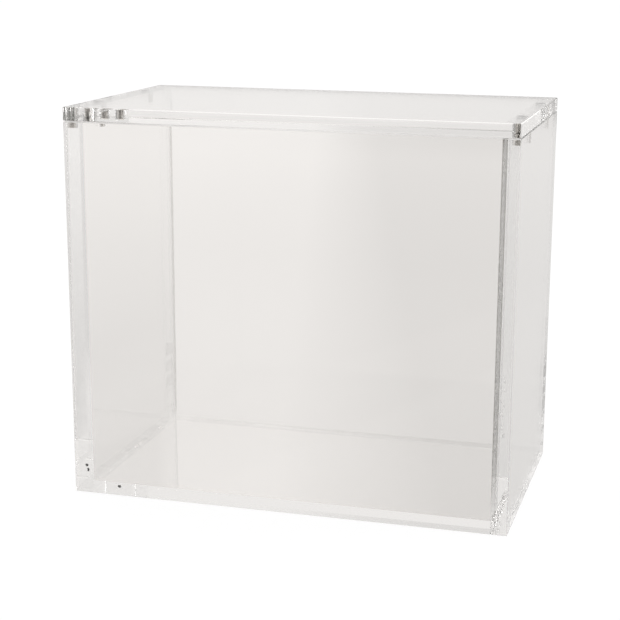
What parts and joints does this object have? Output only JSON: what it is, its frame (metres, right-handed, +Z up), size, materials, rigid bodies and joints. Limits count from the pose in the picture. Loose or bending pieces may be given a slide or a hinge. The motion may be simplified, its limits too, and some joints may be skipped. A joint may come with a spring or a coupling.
{
  "type": "display case",
  "caption": "Clear acrylic display case: an open-topped box of cemented sheets with a flat lift-off lid that small round magnets in the side walls hold in place.",
  "frame": {"origin": "middle of the underside, on the surface that the case stands on", "axes": "+X to the right across the width, +Y from the front panel to the back panel, +Z up"},
  "size_m": [0.2, 0.114, 0.1762],
  "materials": {
    "clear_acrylic": "clear cast acrylic sheet with polished edges",
    "magnet_plating": "nickel plate"
  },
  "bodies": {
    "case": {"base_panel": "clear_acrylic", "front_panel": "clear_acrylic", "back_panel": "clear_acrylic", "left_panel": "clear_acrylic", "right_panel": "clear_acrylic", "magnet_left_front": "magnet_plating", "magnet_left_rear": "magnet_plating", "magnet_right_front": "magnet_plating", "magnet_right_rear": "magnet_plating"},
    "lid": {"lid_panel": "clear_acrylic", "lid_magnet_left_front": "magnet_plating", "lid_magnet_left_rear": "magnet_plating", "lid_magnet_right_front": "magnet_plating", "lid_magnet_right_rear": "magnet_plating"}
  },
  "joints": [
    {"name": "lid_lift", "type": "slide", "parent": "case", "child": "lid", "axis": [0, 0, 1], "range_m": [0, 0.2]}
  ]
}
